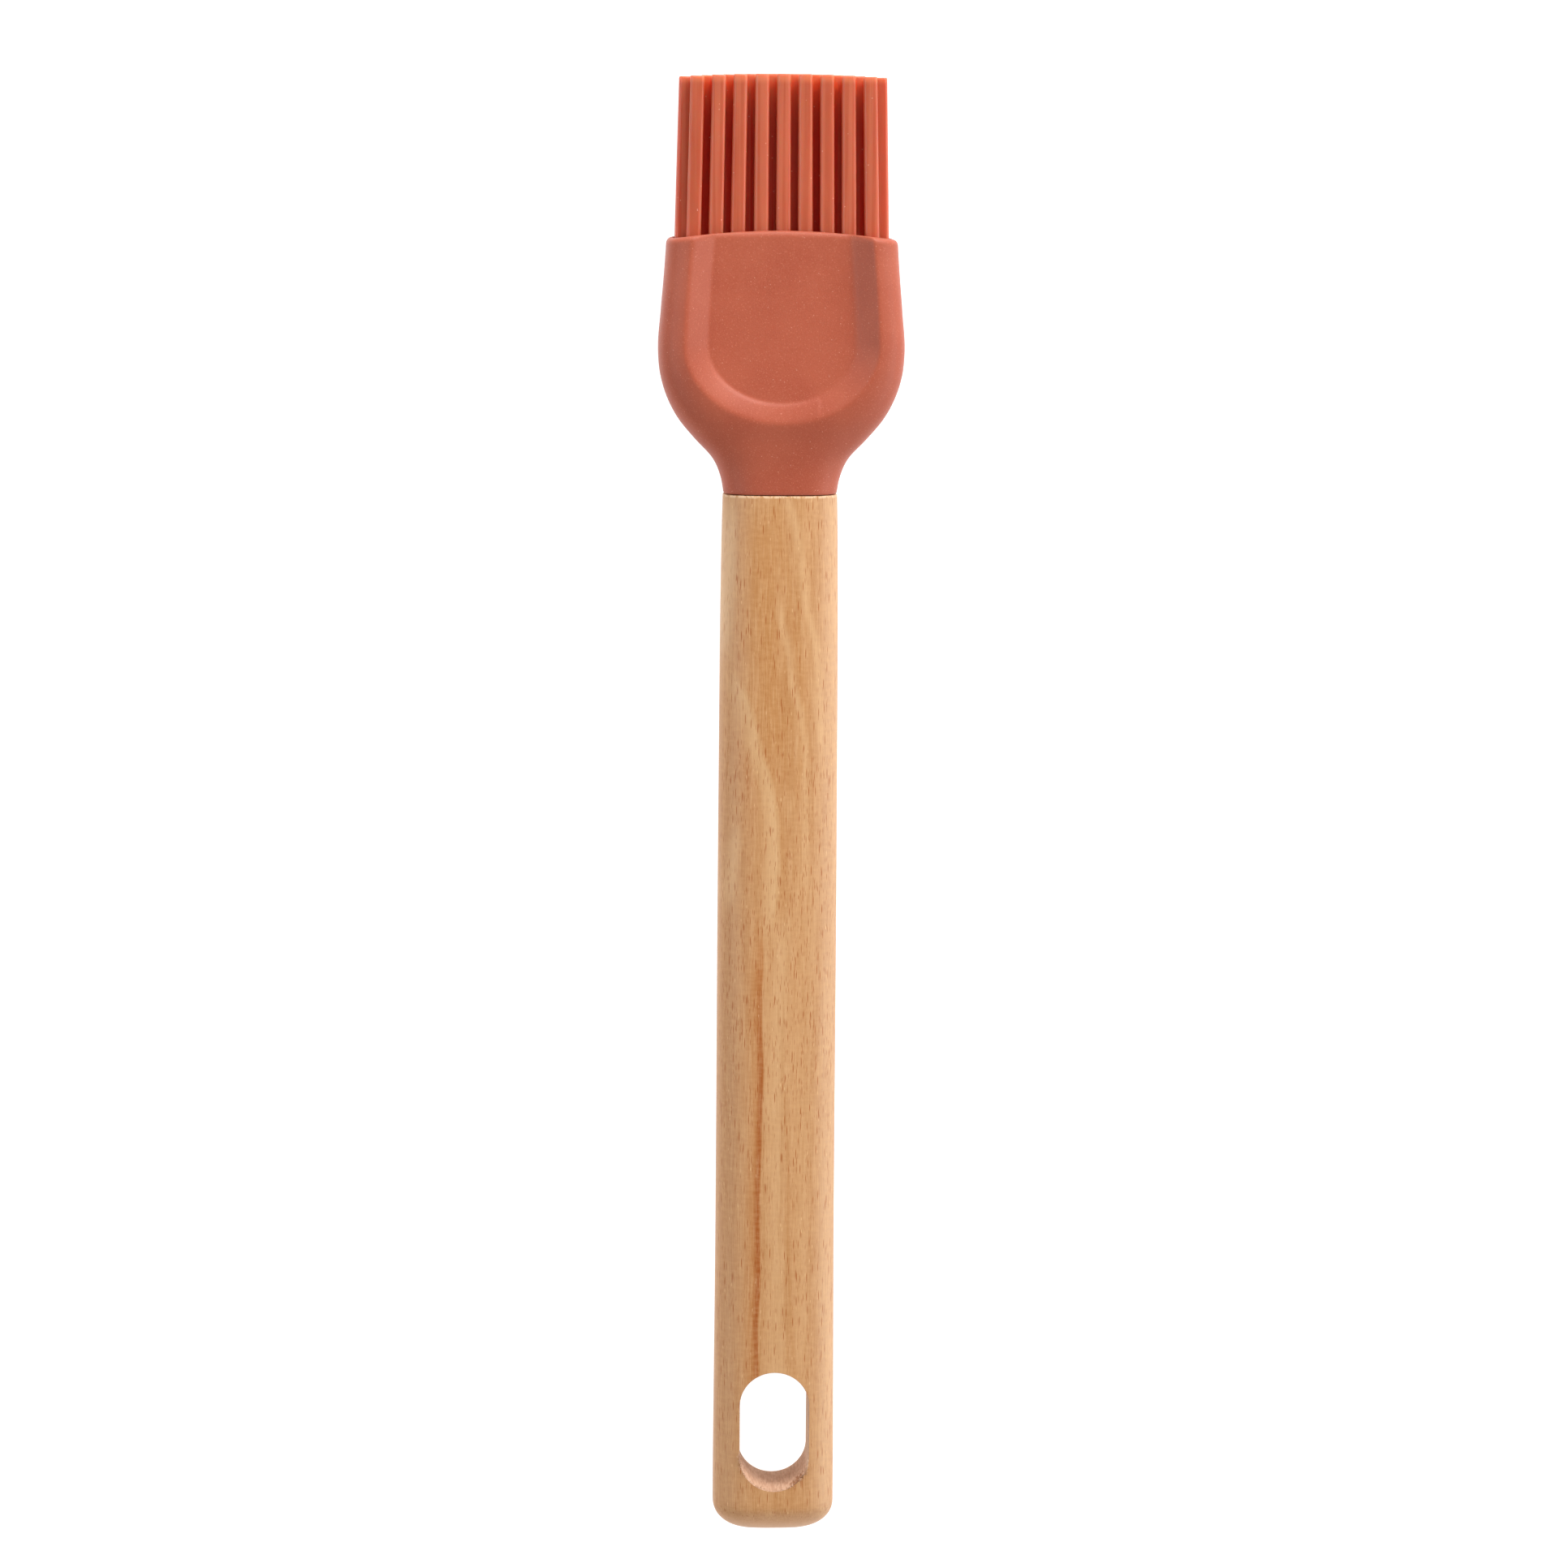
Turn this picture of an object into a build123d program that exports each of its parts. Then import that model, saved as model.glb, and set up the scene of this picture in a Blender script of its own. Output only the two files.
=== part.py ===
from build123d import *
import os

# Pastry brush: a silicone head with five rows of moulded bristles, pushed onto a nylon core
# that is glued into a beech handle. Millimetres. The brush lies flat on its back: +X across it,
# +Y along it towards the bristle tips, +Z up. The origin is under its middle, on the surface.

# Driving dimensions
OVERALL_LENGTH = 240.0
HEAD_THICKNESS = 17.0
HANDLE_THICKNESS = 12.0

TIP_Y = OVERALL_LENGTH / 2
BUTT_Y = -OVERALL_LENGTH / 2
MID_Z = HEAD_THICKNESS / 2

# Handle: a bar with softly rounded edges, a little wider towards the butt
HANDLE_TOP_Y = 52.7
HANDLE_HALF_WIDTHS = [(9.25, HANDLE_TOP_Y), (9.5, 38.0), (9.66, 0.0), (9.76, -50.0), (10.0, -108.0)]
HANDLE_EDGE_RADIUS = 4.0
HANDLE_END_EASE = 0.4
BUTT_CORNER_RADIUS = 5.0
BUTT_CROWN = 0.4

# Hanging slot through the butt
SLOT_WIDTH = 11.4
SLOT_LENGTH = 20.2
SLOT_Y = -102.0

# Core: a tongue that the head grips and a ribbed tang glued into the handle
TANG_RADIUS = 3.5
TANG_LENGTH = 30.0
GLUE_GAP = 0.05
GLUE_GROOVES = 4
GLUE_GROOVE_WIDTH = 1.6
GLUE_GROOVE_DEPTH = 0.4
TONGUE_ROOT = (13.0, 7.0)
TONGUE_TIP = (11.6, 5.8)
TONGUE_CORNER_RADIUS = 2.2
TONGUE_LENGTH = 26.0
TONGUE_TIP_EASE = 0.8
HEAD_FIT_GAP = 0.05

# Hood: half widths and half thicknesses with their heights, from the neck to above the rim
NECK_Y = HANDLE_TOP_Y + 0.3
HOOD_HALF_WIDTHS = [(9.15, NECK_Y), (10.15, 57.0), (12.25, 60.1), (15.35, 63.3), (17.6, 66.6),
                    (19.1, 70.8), (19.8, 75.8)]
RIM_HALF_WIDTH = 18.5
RIM_SIDE_Y = 93.8
RIM_RISE = 1.4
RIM_LIP_RADIUS = 1.0
FULL_THICKNESS_Y = 74.0
HOOD_EDGE_RADIUS = 4.0

# Thumb recess on the front and the back: a flat floor with sloping walls, open at the rim
RECESS_DEPTH = 1.9
RECESS_BOWL_Y = 75.0
RECESS_TAPER = 0.8
RECESS_FLOOR_HALF_WIDTH = 12.0
RECESS_FLOOR_DROP = 7.4
RECESS_MOUTH_HALF_WIDTH = 16.2
RECESS_MOUTH_DROP = 12.4

# Tuft: rows of bristles, each row moulded as a comb on a bar that sits in the hood's pocket
ROW_PITCH = 2.16
ROW_COUNTS = [9, 10, 9, 10, 9]
ROW_NAMES = ["back_bristle_comb", "inner_back_bristle_comb", "middle_bristle_comb",
             "inner_front_bristle_comb", "front_bristle_comb"]
BRISTLE_ROOT = (2.36, 1.85)
BRISTLE_TIP = (2.2, 1.7)
BRISTLE_CORNER = 0.7
PITCH_AT_ROOT = 3.57
PITCH_AT_TIP = 3.44
TIP_SAG = 0.6
BAR_BOTTOM_Y = 83.4
BAR_TOP_Y = 90.4
BAR_OVERHANG = 0.08
BAR_END_RADIUS = 0.7
POCKET_WIDTH = 34.8
POCKET_CORNER_RADIUS = 2.4


def section(y):
    """A sketch plane square to the brush at y, facing the bristle tips."""
    return Plane(origin=(0, y, MID_Z), x_dir=(1, 0, 0), z_dir=(0, 1, 0))


def rounded_loft(stations):
    """A smooth solid through rounded rectangles given as (y, width, thickness, corner radius)."""
    faces = [section(y) * RectangleRounded(width, thickness, radius) for y, width, thickness, radius in stations]
    return loft(Sketch() + faces)


def handle():
    right = [Vector(x, y) for x, y in HANDLE_HALF_WIDTHS]
    corner_y = BUTT_Y + BUTT_CROWN
    side = Spline(right, tangents=[(0.02, -1), (0, -1)])
    half = Curve() + [side, Line(right[-1], (right[-1].X, corner_y))]
    crown = ThreePointArc((right[-1].X, corner_y), (0, BUTT_Y), (-right[-1].X, corner_y))
    top = Line((-right[0].X, HANDLE_TOP_Y), (right[0].X, HANDLE_TOP_Y))
    outline = make_face(Curve() + [half, crown, half.mirror(Plane.YZ), top])
    outline = fillet(outline.vertices().group_by(Axis.Y)[0], BUTT_CORNER_RADIUS)
    bar = Pos(0, 0, MID_Z) * extrude(outline, HANDLE_THICKNESS / 2, both=True)
    faces = bar.faces().sort_by(Axis.Z)
    long_edges = [e for f in (faces[0], faces[-1]) for e in f.edges() if (e @ 0.5).Y < HANDLE_TOP_Y - 1]
    bar = fillet(long_edges, HANDLE_EDGE_RADIUS)
    end_face = bar.faces().sort_by(Axis.Y)[-1]
    bar = chamfer(end_face.edges(), HANDLE_END_EASE)
    slot = extrude(SlotOverall(SLOT_LENGTH, SLOT_WIDTH, rotation=90), HEAD_THICKNESS)
    bore = extrude(section(HANDLE_TOP_Y) * Circle(TANG_RADIUS + GLUE_GAP), -TANG_LENGTH - 1)
    return bar - Pos(0, SLOT_Y, 0) * slot - bore


def tongue(gap):
    """The tapered tongue of the core, or with a gap all round, the socket it slides in."""
    ends = [(HANDLE_TOP_Y, TONGUE_ROOT), (HANDLE_TOP_Y + TONGUE_LENGTH + gap, TONGUE_TIP)]
    return rounded_loft([(y, w + 2 * gap, t + 2 * gap, TONGUE_CORNER_RADIUS) for y, (w, t) in ends])


def core_insert():
    blade = tongue(0)
    blade = chamfer(blade.faces().sort_by(Axis.Y)[-1].edges(), TONGUE_TIP_EASE)
    tang = extrude(section(HANDLE_TOP_Y) * Circle(TANG_RADIUS), -TANG_LENGTH)
    tang = chamfer(tang.faces().sort_by(Axis.Y)[0].edges(), TONGUE_TIP_EASE)
    groove_profile = Circle(TANG_RADIUS + 1) - Circle(TANG_RADIUS - GLUE_GROOVE_DEPTH)
    for i in range(GLUE_GROOVES):
        y = HANDLE_TOP_Y - TANG_LENGTH * (i + 1) / (GLUE_GROOVES + 1)
        tang -= extrude(section(y) * groove_profile, GLUE_GROOVE_WIDTH)
    return blade + tang


def recess_outline(half_width, drop):
    """The U-shaped outline of the thumb recess at one level: straight sides and an elliptical bottom."""
    top_y = RIM_SIDE_Y + 6
    bowl = EllipticalCenterArc((0, RECESS_BOWL_Y), half_width, drop, start_angle=180, arc_size=180)
    left = Line((RECESS_TAPER - half_width, top_y), bowl @ 0)
    right = Line(bowl @ 1, (half_width - RECESS_TAPER, top_y))
    lid = Line(right @ 1, left @ 0)
    return make_face(Curve() + [left, bowl, right, lid])


def thumb_recess():
    """The material taken off the front of the hood."""
    floor = Pos(0, 0, HEAD_THICKNESS - RECESS_DEPTH) * recess_outline(RECESS_FLOOR_HALF_WIDTH, RECESS_FLOOR_DROP)
    mouth = Pos(0, 0, HEAD_THICKNESS) * recess_outline(RECESS_MOUTH_HALF_WIDTH, RECESS_MOUTH_DROP)
    return loft(Sketch() + [floor, mouth], ruled=True)


def hood_blank():
    """The hood before it is hollowed: its front outline and its side outline crossed, edges rounded."""
    flank = Spline([Vector(x, y) for x, y in HOOD_HALF_WIDTHS], tangents=[(0.1, 1), (0, 1)])
    above_rim = RIM_SIDE_Y + 8
    slope = (RIM_HALF_WIDTH - HOOD_HALF_WIDTHS[-1][0]) / (RIM_SIDE_Y - HOOD_HALF_WIDTHS[-1][1])
    rim_x = RIM_HALF_WIDTH + slope * (above_rim - RIM_SIDE_Y)
    flare = Spline(flank @ 1, (rim_x, above_rim), tangents=[(0, 1), (slope, 1)])
    side = Curve() + [flank, flare]
    neck = Line((-HOOD_HALF_WIDTHS[0][0], NECK_Y), (HOOD_HALF_WIDTHS[0][0], NECK_Y))
    top = Line((rim_x, above_rim), (-rim_x, above_rim))
    front = make_face(Curve() + [side, side.mirror(Plane.YZ), neck, top])
    front = extrude(front, HEAD_THICKNESS)
    swell = Spline((HANDLE_THICKNESS / 2, NECK_Y), (HEAD_THICKNESS / 2, FULL_THICKNESS_Y),
                   tangents=[(0.1, 1), (0, 1)])
    face_line = Line(swell @ 1, (HEAD_THICKNESS / 2, above_rim))
    cheek = Curve() + [swell, face_line]
    neck = Line((-HANDLE_THICKNESS / 2, NECK_Y), (HANDLE_THICKNESS / 2, NECK_Y))
    top = Line((HEAD_THICKNESS / 2, above_rim), (-HEAD_THICKNESS / 2, above_rim))
    profile = make_face(Curve() + [cheek, cheek.mirror(Plane.YZ), neck, top])
    full_width = 2 * HOOD_HALF_WIDTHS[-1][0] + 2
    blank = front & Pos(-full_width / 2, 0, MID_Z) * Rot(0, 90, 0) * extrude(profile, full_width)
    ridges = blank.edges().filter_by(lambda e: abs(e.center().X) > 5 and abs((e @ 1 - e @ 0).Y) > 5)
    return fillet(ridges, HOOD_EDGE_RADIUS)


def hood():
    body = hood_blank()
    arch_radius = (RIM_HALF_WIDTH ** 2 + RIM_RISE ** 2) / (2 * RIM_RISE)
    arch_y = RIM_SIDE_Y + RIM_RISE - arch_radius
    body &= Pos(0, arch_y, MID_Z) * Cylinder(arch_radius, 2 * HEAD_THICKNESS)
    recess = thumb_recess()
    body = body - recess - recess.mirror(Plane.XY.offset(MID_Z))
    rim_edges = body.faces().filter_by(GeomType.CYLINDER).sort_by(SortBy.AREA)[-1].outer_wire().edges()
    body = fillet(rim_edges, RIM_LIP_RADIUS)
    pocket_thickness = ROW_PITCH * len(ROW_COUNTS)
    pocket = RectangleRounded(POCKET_WIDTH, pocket_thickness, POCKET_CORNER_RADIUS)
    body -= extrude(section(BAR_BOTTOM_Y) * pocket, OVERALL_LENGTH / 4)
    return body - tongue(HEAD_FIT_GAP)


def bristle(place):
    """One bristle, counted in pitches from the middle of its row: it leans in a little towards its tip."""
    tip_x = place * PITCH_AT_TIP
    tip_y = TIP_Y - TIP_SAG * (tip_x / (max(ROW_COUNTS) / 2 * PITCH_AT_TIP)) ** 2
    root = section(BAR_TOP_Y - 1) * Pos(place * PITCH_AT_ROOT, 0) * RectangleRounded(*BRISTLE_ROOT, BRISTLE_CORNER)
    tip = section(tip_y) * Pos(tip_x, 0) * RectangleRounded(*BRISTLE_TIP, BRISTLE_CORNER)
    return loft(Sketch() + [root, tip])


def bristle_comb(row):
    """A bar with its row of bristles. Row 0 is the lowest, at the back."""
    count = ROW_COUNTS[row]
    bar_length = (count - 1) * PITCH_AT_ROOT + BRISTLE_ROOT[0] + 2 * BAR_OVERHANG
    bar = RectangleRounded(bar_length, ROW_PITCH, BAR_END_RADIUS)
    bar = extrude(section(BAR_BOTTOM_Y) * bar, BAR_TOP_Y - BAR_BOTTOM_Y)
    comb = bar + [bristle(i - (count - 1) / 2) for i in range(count)]
    return Pos(0, 0, ROW_PITCH * (row - (len(ROW_COUNTS) - 1) / 2)) * comb


parts = {"handle": handle(), "core_insert": core_insert(), "hood": hood()}
for row, name in enumerate(ROW_NAMES):
    parts[name] = bristle_comb(row)

os.makedirs("parts", exist_ok=True)
for name, shape in parts.items():
    export_step(shape, f"parts/{name}.step")
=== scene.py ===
import math
import bmesh
import bpy
import numpy as np
from mathutils import Matrix, Vector


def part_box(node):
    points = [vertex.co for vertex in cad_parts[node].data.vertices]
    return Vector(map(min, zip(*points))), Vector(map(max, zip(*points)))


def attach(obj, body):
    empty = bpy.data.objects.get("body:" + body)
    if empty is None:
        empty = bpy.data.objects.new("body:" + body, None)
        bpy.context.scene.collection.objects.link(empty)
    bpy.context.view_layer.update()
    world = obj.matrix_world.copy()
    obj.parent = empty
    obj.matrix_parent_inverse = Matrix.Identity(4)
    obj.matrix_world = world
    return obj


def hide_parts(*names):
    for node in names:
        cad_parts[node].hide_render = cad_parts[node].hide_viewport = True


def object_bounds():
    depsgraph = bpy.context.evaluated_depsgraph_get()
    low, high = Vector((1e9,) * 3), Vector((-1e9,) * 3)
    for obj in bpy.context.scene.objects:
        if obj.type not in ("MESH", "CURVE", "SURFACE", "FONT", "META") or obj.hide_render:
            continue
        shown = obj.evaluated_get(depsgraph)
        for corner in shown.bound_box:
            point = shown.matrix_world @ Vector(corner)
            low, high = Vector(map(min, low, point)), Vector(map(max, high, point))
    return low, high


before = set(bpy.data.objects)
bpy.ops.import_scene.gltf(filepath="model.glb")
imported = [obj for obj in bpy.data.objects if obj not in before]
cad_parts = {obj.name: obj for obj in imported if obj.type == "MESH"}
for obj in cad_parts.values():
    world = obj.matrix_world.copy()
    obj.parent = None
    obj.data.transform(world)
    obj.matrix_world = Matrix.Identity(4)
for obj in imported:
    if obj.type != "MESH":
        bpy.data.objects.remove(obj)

cad_low, cad_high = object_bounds()
mm = 0.001


# The place where the brush is seen: it lies on a pale table, looked down on from above its head
# with a long lens. The strongest soft lamp stands beyond it and to its right, and four weaker ones
# stand to its right, to its left, beyond its tips and near its butt.
scene = bpy.context.scene
scene.view_settings.view_transform = "Standard"


def tint(red, green, blue):
    """A colour as it reads on a screen, 0 to 255, as the light it stands for."""
    light = [((c / 255 + 0.055) / 1.055) ** 2.4 if c > 10 else c / 255 / 12.92 for c in (red, green, blue)]
    return (*light, 1.0)


def feed(tree, socket, value):
    """Gives an input a value, or joins another node's output to it."""
    if isinstance(value, bpy.types.NodeSocket):
        tree.links.new(value, socket)
    else:
        socket.default_value = value


def add_node(tree, kind, inputs=None, **settings):
    made = tree.nodes.new(kind)
    for key, value in settings.items():
        setattr(made, key, value)
    for key, value in (inputs or {}).items():
        feed(tree, made.inputs[key], value)
    return made


class Finish:
    """A node material with one Principled shader, and short ways to add and join nodes."""

    def __init__(self, name):
        self.material = bpy.data.materials.new(name)
        self.material.use_nodes = True
        self.tree = self.material.node_tree
        self.shader = self.tree.nodes["Principled BSDF"]
        self.place = self.node("ShaderNodeTexCoord").outputs["Object"]

    def node(self, kind, inputs=None, **settings):
        return add_node(self.tree, kind, inputs, **settings)

    def set(self, **values):
        for key, value in values.items():
            feed(self.tree, self.shader.inputs[key.replace("_", " ")], value)

    def math(self, operation, a, b=0.0):
        return self.node("ShaderNodeMath", {0: a, 1: b}, operation=operation).outputs[0]

    def stretched(self, per_mm, turn=(0.0, 0.0, 0.0), shift=(0.0, 0.0, 0.0)):
        """The place in the piece, in pattern repeats per millimetre along X, Y and Z."""
        scale = tuple(s / mm for s in per_mm)
        inputs = {"Vector": self.place, "Location": shift, "Rotation": turn, "Scale": scale}
        return self.node("ShaderNodeMapping", inputs).outputs[0]

    def noise(self, per_mm, detail=2.0, roughness=0.5, distortion=0.0):
        inputs = {"Vector": self.stretched(per_mm), "Scale": 1.0, "Detail": detail,
                  "Roughness": roughness, "Distortion": distortion}
        return self.node("ShaderNodeTexNoise", inputs).outputs["Fac"]

    def between(self, value, low, high, to_low=0.0, to_high=1.0):
        """A smooth step: to_low where the value is low, to_high where it is high."""
        inputs = {"Value": value, "From Min": low, "From Max": high, "To Min": to_low, "To Max": to_high}
        return self.node("ShaderNodeMapRange", inputs, interpolation_type="SMOOTHSTEP").outputs[0]

    def blend(self, amount, a, b):
        return self.node("ShaderNodeMix", {0: amount, 6: a, 7: b}, data_type="RGBA").outputs[2]

    def cells(self, per_mm, **kw):
        """A pattern of scattered cells, for specks and flecks."""
        return self.node("ShaderNodeTexVoronoi", {"Vector": self.stretched(per_mm, **kw), "Scale": 1.0}).outputs

    def specks(self, per_mm, radius, core):
        """Small round specks, one in each cell, solid inside the core."""
        return self.between(self.cells((per_mm, per_mm, per_mm))["Distance"], radius, core)

    def bump(self, height, distance, strength=1.0):
        inputs = {"Height": height, "Distance": distance, "Strength": strength}
        return self.node("ShaderNodeBump", inputs).outputs[0]


def place_in_scene(name, data):
    made = bpy.data.objects.new(name, data)
    scene.collection.objects.link(made)
    return made


table = Finish("pale_table")
white = (1, 1, 1, 1)
table.set(Base_Color=(0.36, 0.36, 0.36, 1), Roughness=0.6, Specular_IOR_Level=0.2,
          Emission_Color=white, Emission_Strength=0.92)
table.set(Normal=table.bump(table.noise((0.2, 0.2, 0.2)), 0.05 * mm))
bpy.ops.mesh.primitive_plane_add(size=6.0, location=(0, 0, cad_low.z))
floor = bpy.context.object
floor.name = "table_top"
floor.data.materials.append(table.material)

lit_place = Vector((0, 30 * mm, 0))
for name, place, size, watts in (
    ("lamp_far_right", (0.42, 0.72, 0.40), (0.6, 0.35), 8.0),
    ("lamp_right", (0.66, -0.10, 0.30), (0.6, 0.3), 2.9),
    ("lamp_left", (-0.52, 0.06, 0.44), (0.8, 0.4), 2.9),
    ("lamp_near", (0.25, -0.84, 0.45), (0.8, 0.4), 2.4),
    ("lamp_beyond", (0.0, 0.95, 0.24), (0.7, 0.2), 4.8),
):
    lamp = bpy.data.lights.new(name, "AREA")
    lamp.shape = "RECTANGLE"
    lamp.size, lamp.size_y = size
    lamp.energy = watts
    holder = place_in_scene(name, lamp)
    holder.location = place
    holder.rotation_euler = (lit_place - Vector(place)).to_track_quat("-Z", "Y").to_euler()
scene.world = bpy.data.worlds.new("studio")
scene.world.use_nodes = True
sky = scene.world.node_tree.nodes["Background"].inputs
sky["Color"].default_value = white
sky["Strength"].default_value = 0.07

mid_z = (cad_low.z + cad_high.z) / 2
eye = Vector((-29 * mm, 113 * mm, mid_z + 763 * mm))
aim = Vector((1.03 * mm, 5.29 * mm, mid_z))
back = (eye - aim).normalized()
right = Vector((0, 1, 0)).cross(back).normalized()
roll = 0.0075
right = math.cos(roll) * right + math.sin(roll) * back.cross(right)
lens = bpy.data.cameras.new("camera")
lens.lens, lens.sensor_width = 108.4, 36
lens.clip_start, lens.clip_end = 0.01, 20
camera = place_in_scene("camera", lens)
camera.matrix_world = Matrix.Translation(eye) @ Matrix((right, back.cross(right), back)).transposed().to_4x4()
scene.camera = camera


# The core: one nylon moulding, a ribbed round tang glued into the handle and a tapered tongue
# that the head grips. Its shape comes whole from the frame and it shows when the head is off.
nylon = Finish("nylon_core")
grain = nylon.noise((3.0, 3.0, 3.0), detail=4.0)
nylon.set(Base_Color=nylon.blend(grain, tint(206, 199, 186), tint(222, 216, 204)),
          Roughness=nylon.between(grain, 0.3, 0.7, 0.42, 0.55),
          Subsurface_Weight=0.15, Subsurface_Radius=(1.0, 0.9, 0.7), Subsurface_Scale=0.8 * mm,
          Normal=nylon.bump(grain, 0.03 * mm))
core_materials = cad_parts["core_insert"].data.materials
core_materials.clear()
core_materials.append(nylon.material)


# The handle: a planed and sanded beech bar with crowned faces, a round-cornered butt and a bored
# top end. A router cuts the hanging slot through it after the faces are sanded and oiled.
around = 160
handle_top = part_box("handle")[1].y
top_edge = handle_top + 0.14 * mm
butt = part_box("handle")[0].y + 0.12 * mm
# Half widths, each after its distance along the brush, in metres
handle_stations = [(-0.108, 0.0100), (-0.092, 0.0099), (-0.070, 0.00978), (-0.050, 0.00975),
                   (-0.015, 0.00972), (0.010, 0.00964), (0.038, 0.0095), (0.0486, 0.00935),
                   (handle_top, 0.00925)]
loop_spacing = 0.7 * mm
handle_half_thickness = 6.0 * mm
handle_squareness = 3.0
butt_corner = (7.5 * mm, 5.0 * mm)
butt_squareness = 2.1
end_flat = 0.9 * mm
bore_radius = 3.55 * mm
bore_bottom = handle_top - 31 * mm


def through(points, at):
    """A smooth curve through (place, value) points, read at the places asked for."""
    places, values = np.array(points, float).T
    slopes = np.gradient(values, places)
    at = np.clip(np.asarray(at, float), places[0], places[-1])
    i = np.clip(np.searchsorted(places, at) - 1, 0, len(places) - 2)
    step = places[i + 1] - places[i]
    t = (at - places[i]) / step
    start = (1 + 2 * t) * (1 - t) ** 2 * values[i] + t * (1 - t) ** 2 * step * slopes[i]
    end = t * t * (3 - 2 * t) * values[i + 1] + t * t * (t - 1) * step * slopes[i + 1]
    return start + end


def oval(half_width, half_thickness, squareness, count):
    """Evenly spaced points round a squared oval, as rows of x and z, from +X round to +Z."""
    angle = np.linspace(0, math.pi / 2, 400)
    edge = np.stack([half_width * np.cos(angle) ** (2 / squareness),
                     half_thickness * np.sin(angle) ** (2 / squareness)], 1)
    run = np.concatenate([[0], np.cumsum(np.hypot(*np.diff(edge, axis=0).T))])
    even = np.linspace(0, run[-1], count // 4 + 1)
    quarter = np.stack([np.interp(even, run, edge[:, k]) for k in (0, 1)], 1)
    upper = np.concatenate([quarter, quarter[-2::-1] * (-1, 1)])
    return np.concatenate([upper, upper[-2:0:-1] * (1, -1)])


def loops_to_mesh(name, loops):
    """A mesh through loops of equally many points, with its two ends closed."""
    count = len(loops[0])
    points = np.concatenate(loops)
    faces = []
    for row in range(len(loops) - 1):
        for k in range(count):
            a, b = row * count + k, row * count + (k + 1) % count
            faces.append((a, a + count, b + count, b))
    faces.append(list(range(count)))
    faces.append(list(range(len(points) - 1, len(points) - 1 - count, -1)))
    mesh = bpy.data.meshes.new(name)
    mesh.from_pydata(points.tolist(), [], faces)
    work = bmesh.new()
    work.from_mesh(mesh)
    bmesh.ops.recalc_face_normals(work, faces=work.faces)
    for face in work.faces:
        face.smooth = True
    work.to_mesh(mesh)
    work.free()
    return mesh


def ring(half_width, half_thickness, squareness, y, count=around):
    flat = oval(half_width, half_thickness, squareness, count)
    return np.stack([flat[:, 0], np.full(count, y), mid_z + flat[:, 1]], 1)


def handle_face_height(x, y):
    """How far the handle's front stands above its middle."""
    share = np.abs(x / through(handle_stations, y))
    return handle_half_thickness * (1 - share ** handle_squareness) ** (1 / handle_squareness)


loops = []
wide_butt = handle_stations[0][1]
for turn in np.linspace(math.pi / 2, 0, 20):
    along = math.sin(turn) ** (2 / butt_squareness)
    inset = butt_corner[0] * (1 - math.cos(turn) ** (2 / butt_squareness))
    half_thickness = max(end_flat, handle_half_thickness * math.sqrt(max(0.0, 1 - along ** 2)))
    y = butt + butt_corner[1] * (1 - along)
    loops.append(ring(wide_butt - inset, half_thickness, handle_squareness, y))
end_loop = loops[0]
centre = np.array([0, butt, mid_z])
cap = [centre + (end_loop - centre) * (s, 1, s) for s in (0.05, 0.3, 0.6, 0.85)]
loops = cap + loops
for y in np.arange(loops[-1][0, 1] + loop_spacing, top_edge - 0.4 * mm, loop_spacing):
    loops.append(ring(float(through(handle_stations, y)), handle_half_thickness, handle_squareness, y))
wide_top = handle_stations[-1][1]
chip = np.random.default_rng(4)
chip_depth = 0.025 * mm
for down, inset in ((0.26, 0.0), (0.12, 0.03), (0.04, 0.09), (0.0, 0.2)):
    edge = ring(wide_top - inset * mm, handle_half_thickness - inset * mm, handle_squareness,
                top_edge - down * mm)
    edge[:, 1] -= np.abs(chip.normal(0, chip_depth, around)) * (inset > 0)
    loops.append(edge)
for radius, y in ((bore_radius, top_edge), (bore_radius, bore_bottom)):
    loops.append(ring(radius, radius, 2.0, y))
handle_mesh = loops_to_mesh("beech_handle", loops)

slot_centre = -102.08 * mm
slot_half_width = 5.7 * mm
slot_straight = 4.34 * mm
slot_steps = 96
slot_points = []
for k in range(slot_steps):
    a = 2 * math.pi * k / slot_steps
    slot_points.append((math.cos(a), math.sin(a), slot_straight if math.sin(a) >= 0 else -slot_straight))
cutter_loops = []
for above, flare in ((-2.0, 0.0), (-0.3, 0.0), (-0.1, 0.04), (0.03, 0.12), (2.0, 1.1)):
    loop = []
    for c, s, shift in slot_points:
        x = (slot_half_width + flare * mm) * c
        y = slot_centre + shift + (slot_half_width + flare * mm) * s
        loop.append((x, y, float(handle_face_height(slot_half_width * c, slot_centre)) + above * mm))
    cutter_loops.append(np.array(loop))
cutter_loops = [loop * (1, 1, -1) for loop in reversed(cutter_loops)] + cutter_loops
cutter_mesh = loops_to_mesh("slot_cutter", [loop + (0, 0, mid_z) for loop in cutter_loops])

beech = Finish("oiled_beech")
in_mm = beech.node("ShaderNodeVectorMath", {0: beech.place, 3: 1 / mm}, operation="SCALE").outputs[0]
wood = beech.node("ShaderNodeSeparateXYZ", {"Vector": in_mm}).outputs
wander = beech.noise((0.16, 0.07, 0.16), detail=3.0)
below_face = beech.math("SUBTRACT", (mid_z + handle_half_thickness) / mm, wood["Z"])
ring_lean = beech.math("MULTIPLY", below_face, 0.35)
wood_x = beech.math("ADD", beech.math("ADD", wood["X"], ring_lean),
                    beech.between(wander, 0.2, 0.8, -0.22, 0.22))
wood_y = wood["Y"]
line_reach = 10.0


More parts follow.
